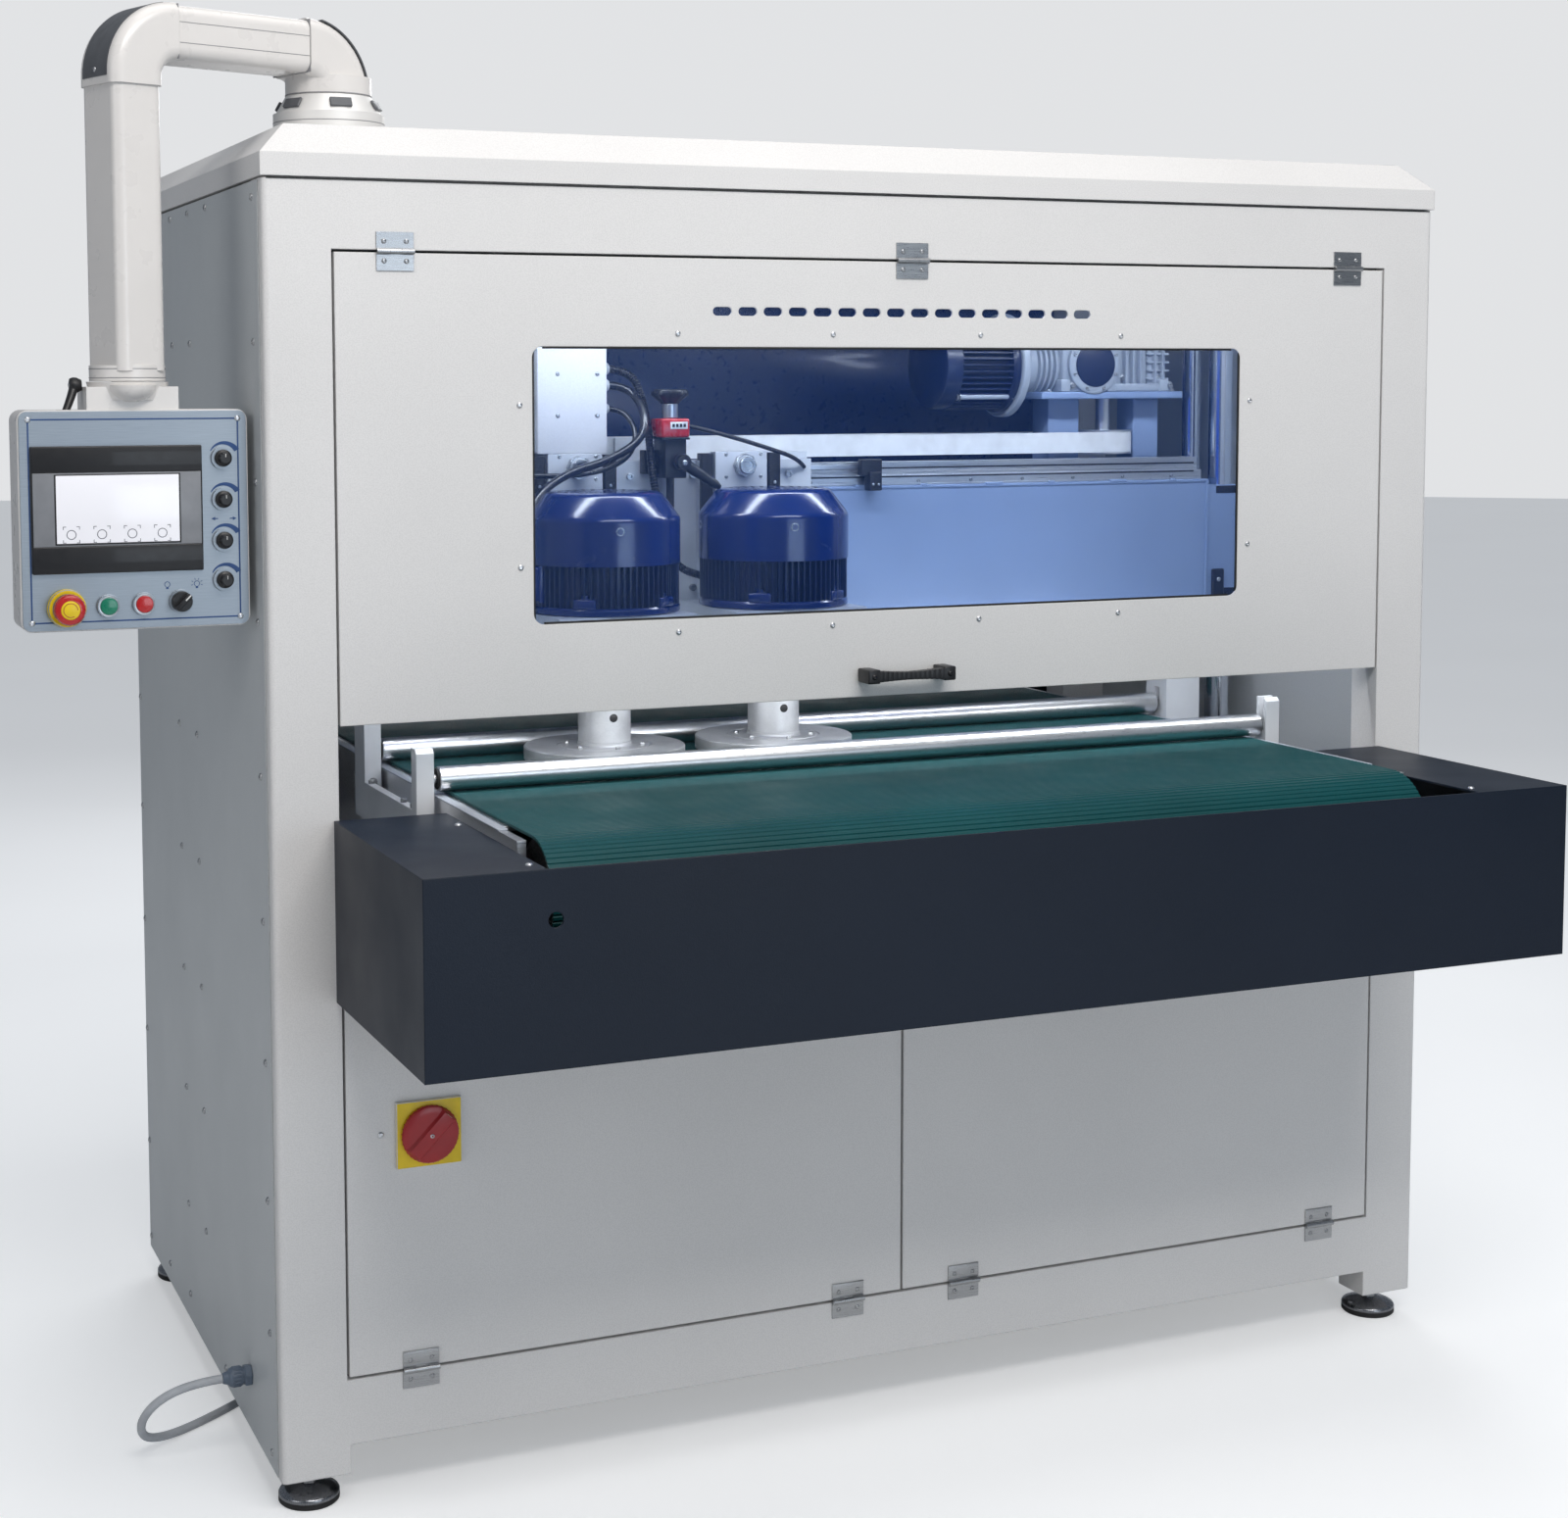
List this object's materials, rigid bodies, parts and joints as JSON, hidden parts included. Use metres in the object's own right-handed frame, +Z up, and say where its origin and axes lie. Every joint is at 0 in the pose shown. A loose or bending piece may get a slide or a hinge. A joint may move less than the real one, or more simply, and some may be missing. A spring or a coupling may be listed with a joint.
{
  "type": "through-feed disc sanding machine",
  "caption": "Cabinet-style conveyor sander: upright disc spindles traverse above a belt, with hold-down rollers, hinged doors and a swinging control panel.",
  "frame": {"origin": "on the floor, in the middle of the machine's footprint box without its mains lead", "axes": "+X to the operator's right along the width, +Y from the infeed to the outfeed, +Z up"},
  "size_m": [2.136, 1.8022, 1.978],
  "materials": {
    "frame_paint": "textured powder coat, warm light grey",
    "panel_paint": "textured powder coat, cooler grey",
    "cover_paint": "textured powder coat, anthracite blue",
    "stainless": "brushed stainless steel",
    "steel": "turned and ground steel",
    "chrome": "polished hard chrome",
    "aluminium": "machined aluminium",
    "belt_green": "ribbed conveyor belting",
    "timing_white": "white polyurethane timing belt",
    "black_plastic": "moulded black plastic",
    "black_rubber": "black rubber",
    "motor_blue": "glossy blue enamel",
    "beam_paint": "light grey enamel",
    "arm_white": "smooth off-white coating",
    "faceplate_grey": "brushed, printed aluminium",
    "screen_black": "black display frame",
    "window_blue": "blue-tinted clear polycarbonate",
    "red_plastic": "red moulded plastic",
    "green_plastic": "green moulded plastic",
    "cable_grey": "light grey cable sheath",
    "plug_red": "red and grey industrial plug"
  },
  "bodies": {
    "cabinet": {"front_frame": "frame_paint", "rear_frame": "frame_paint", "base_frame": "frame_paint", "side_panels": "panel_paint", "roof_cover": "frame_paint", "levelling_feet": "black_rubber", "frame_hinge_leaves": "stainless", "infeed_cover": "cover_paint", "outfeed_cover": "cover_paint", "conveyor_frame": "aluminium", "conveyor_belt": "belt_green", "conveyor_gearmotor": "aluminium", "hold_down_brackets": "beam_paint", "guide_columns": "chrome", "arm_base": "arm_white", "cable_gland": "black_plastic", "mains_cable": "cable_grey", "cable_coil": "cable_grey", "mains_plug": "plug_red"},
    "tail_drum": {"tail_drum": "steel"},
    "drive_drum": {"drive_drum": "steel"},
    "front_axle": {"front_roller_axle": "steel"},
    "front_roller": {"front_roller": "chrome"},
    "rear_axle": {"rear_roller_axle": "steel"},
    "rear_roller": {"rear_roller": "chrome"},
    "beam": {"cross_beam": "beam_paint", "linear_rails": "aluminium", "traverse_gearmotor": "aluminium", "timing_belt": "timing_white"},
    "drive_pulley": {"drive_pulley": "aluminium"},
    "idler_pulley": {"idler_pulley": "aluminium"},
    "carriage": {"carriage_plate": "beam_paint", "head_motors": "motor_blue", "junction_box": "frame_paint", "position_indicator": "red_plastic", "head_cables": "black_rubber"},
    "star_knob": {"star_knob": "black_plastic"},
    "clamp_lever": {"clamp_lever": "black_plastic"},
    "left_spindle": {"left_spindle": "steel"},
    "right_spindle": {"right_spindle": "steel"},
    "upper_door": {"upper_door": "frame_paint", "window_pane": "window_blue", "door_handle": "black_plastic", "upper_hinge_leaves": "stainless"},
    "lower_door_left": {"lower_door_left": "frame_paint"},
    "lower_door_right": {"lower_door_right": "frame_paint"},
    "switch_handle": {"switch_handle": "red_plastic"},
    "boom": {"boom_arm": "arm_white"},
    "panel": {"panel_enclosure": "arm_white", "panel_faceplate": "faceplate_grey", "touch_screen": "screen_black"},
    "emergency_stop": {"emergency_stop": "red_plastic"},
    "start_button": {"start_button": "green_plastic"},
    "stop_button": {"stop_button": "red_plastic"},
    "light_selector": {"light_selector": "black_plastic"},
    "panel_lever": {"panel_lever": "black_plastic"},
    "speed_knob_1": {"speed_knob_1": "black_plastic"},
    "speed_knob_2": {"speed_knob_2": "black_plastic"},
    "speed_knob_3": {"speed_knob_3": "black_plastic"},
    "speed_knob_4": {"speed_knob_4": "black_plastic"}
  },
  "joints": [
    {"name": "upper_door_hinge", "type": "hinge", "parent": "cabinet", "child": "upper_door", "pos_m": [0.148, -0.4965, 1.6632], "axis": [-1, 0, 0], "range_deg": [0, 95]},
    {"name": "lower_left_hinge", "type": "hinge", "parent": "cabinet", "child": "lower_door_left", "pos_m": [-0.252, -0.4965, 0.175], "axis": [1, 0, 0], "range_deg": [0, 90]},
    {"name": "lower_right_hinge", "type": "hinge", "parent": "cabinet", "child": "lower_door_right", "pos_m": [0.548, -0.4965, 0.175], "axis": [1, 0, 0], "range_deg": [0, 90]},
    {"name": "main_switch", "type": "hinge", "parent": "lower_door_left", "child": "switch_handle", "pos_m": [-0.563, -0.5065, 0.497], "axis": [0, 1, 0], "range_deg": [-90, 0]},
    {"name": "roller_lift_front", "type": "slide", "parent": "cabinet", "child": "front_axle", "axis": [0, 0, 1], "range_m": [0, 0.02]},
    {"name": "roller_spin_front", "type": "hinge", "parent": "front_axle", "child": "front_roller", "pos_m": [0.148, -0.4055, 0.957], "axis": [1, 0, 0], "continuous": true},
    {"name": "roller_lift_rear", "type": "slide", "parent": "cabinet", "child": "rear_axle", "axis": [0, 0, 1], "range_m": [0, 0.02]},
    {"name": "roller_spin_rear", "type": "hinge", "parent": "rear_axle", "child": "rear_roller", "pos_m": [0.148, -0.1145, 0.957], "axis": [1, 0, 0], "continuous": true},
    {"name": "drive_drum_spin", "type": "hinge", "parent": "cabinet", "child": "drive_drum", "pos_m": [0.148, 0.7545, 0.861], "axis": [1, 0, 0], "continuous": true},
    {"name": "tail_drum_spin", "type": "hinge", "parent": "cabinet", "child": "tail_drum", "pos_m": [0.148, -0.7545, 0.861], "axis": [1, 0, 0], "continuous": true},
    {"name": "beam_lift", "type": "slide", "parent": "cabinet", "child": "beam", "axis": [0, 0, 1], "range_m": [0, 0.1]},
    {"name": "carriage_traverse", "type": "slide", "parent": "beam", "child": "carriage", "axis": [1, 0, 0], "range_m": [-0.14, 0.6]},
    {"name": "drive_pulley_spin", "type": "hinge", "parent": "beam", "child": "drive_pulley", "pos_m": [0.788, 0.0075, 1.392], "axis": [0, 0, 1], "range_deg": [-200, 780]},
    {"name": "idler_pulley_spin", "type": "hinge", "parent": "beam", "child": "idler_pulley", "pos_m": [-0.492, 0.0075, 1.392], "axis": [0, 0, 1], "range_deg": [-200, 780]},
    {"name": "left_spindle_spin", "type": "hinge", "parent": "carriage", "child": "left_spindle", "pos_m": [-0.221, -0.2585, 1.05], "axis": [0, 0, 1], "continuous": true},
    {"name": "right_spindle_spin", "type": "hinge", "parent": "carriage", "child": "right_spindle", "pos_m": [0.05, -0.2585, 1.05], "axis": [0, 0, 1], "continuous": true},
    {"name": "star_knob_turn", "type": "hinge", "parent": "carriage", "child": "star_knob", "pos_m": [-0.072, -0.1505, 1.473], "axis": [0, 0, 1], "continuous": true},
    {"name": "clamp_lever_turn", "type": "hinge", "parent": "carriage", "child": "clamp_lever", "pos_m": [-0.064, -0.1785, 1.374], "axis": [0, 1, 0], "range_deg": [-90, 0]},
    {"name": "boom_swivel", "type": "hinge", "parent": "cabinet", "child": "boom", "pos_m": [-0.627, -0.2885, 1.89], "axis": [0, 0, 1], "range_deg": [-40, 0]},
    {"name": "panel_swivel", "type": "hinge", "parent": "boom", "child": "panel", "pos_m": [-0.923, -0.3945, 1.49], "axis": [0, 0, 1], "range_deg": [-60, 60]},
    {"name": "panel_lever_turn", "type": "hinge", "parent": "panel", "child": "panel_lever", "pos_m": [-0.9885, -0.3945, 1.492], "axis": [1, 0, 0], "range_deg": [-60, 60]},
    {"name": "emergency_stop_push", "type": "slide", "parent": "panel", "child": "emergency_stop", "axis": [0, 1, 0], "range_m": [0, 0.006], "stiffness_N_per_m": 3000},
    {"name": "start_push", "type": "slide", "parent": "panel", "child": "start_button", "axis": [0, 1, 0], "range_m": [0, 0.003], "stiffness_N_per_m": 1000},
    {"name": "stop_push", "type": "slide", "parent": "panel", "child": "stop_button", "axis": [0, 1, 0], "range_m": [0, 0.003], "stiffness_N_per_m": 1000},
    {"name": "light_selector_turn", "type": "hinge", "parent": "panel", "child": "light_selector", "pos_m": [-0.868, -0.4475, 1.215], "axis": [0, 1, 0], "range_deg": [0, 90]},
    {"name": "speed_knob_1_turn", "type": "hinge", "parent": "panel", "child": "speed_knob_1", "pos_m": [-0.811, -0.4505, 1.398], "axis": [0, 1, 0], "range_deg": [-150, 150]},
    {"name": "speed_knob_2_turn", "type": "hinge", "parent": "panel", "child": "speed_knob_2", "pos_m": [-0.811, -0.4505, 1.345], "axis": [0, 1, 0], "range_deg": [-150, 150]},
    {"name": "speed_knob_3_turn", "type": "hinge", "parent": "panel", "child": "speed_knob_3", "pos_m": [-0.811, -0.4505, 1.292], "axis": [0, 1, 0], "range_deg": [-150, 150]},
    {"name": "speed_knob_4_turn", "type": "hinge", "parent": "panel", "child": "speed_knob_4", "pos_m": [-0.811, -0.4505, 1.241], "axis": [0, 1, 0], "range_deg": [-150, 150]}
  ],
  "couplings": [
    {"joint": "tail_drum_spin", "follows": "drive_drum_spin", "ratio": 1},
    {"joint": "drive_pulley_spin", "follows": "carriage_traverse", "rad_per_m": 21.368},
    {"joint": "idler_pulley_spin", "follows": "carriage_traverse", "rad_per_m": 21.368}
  ]
}
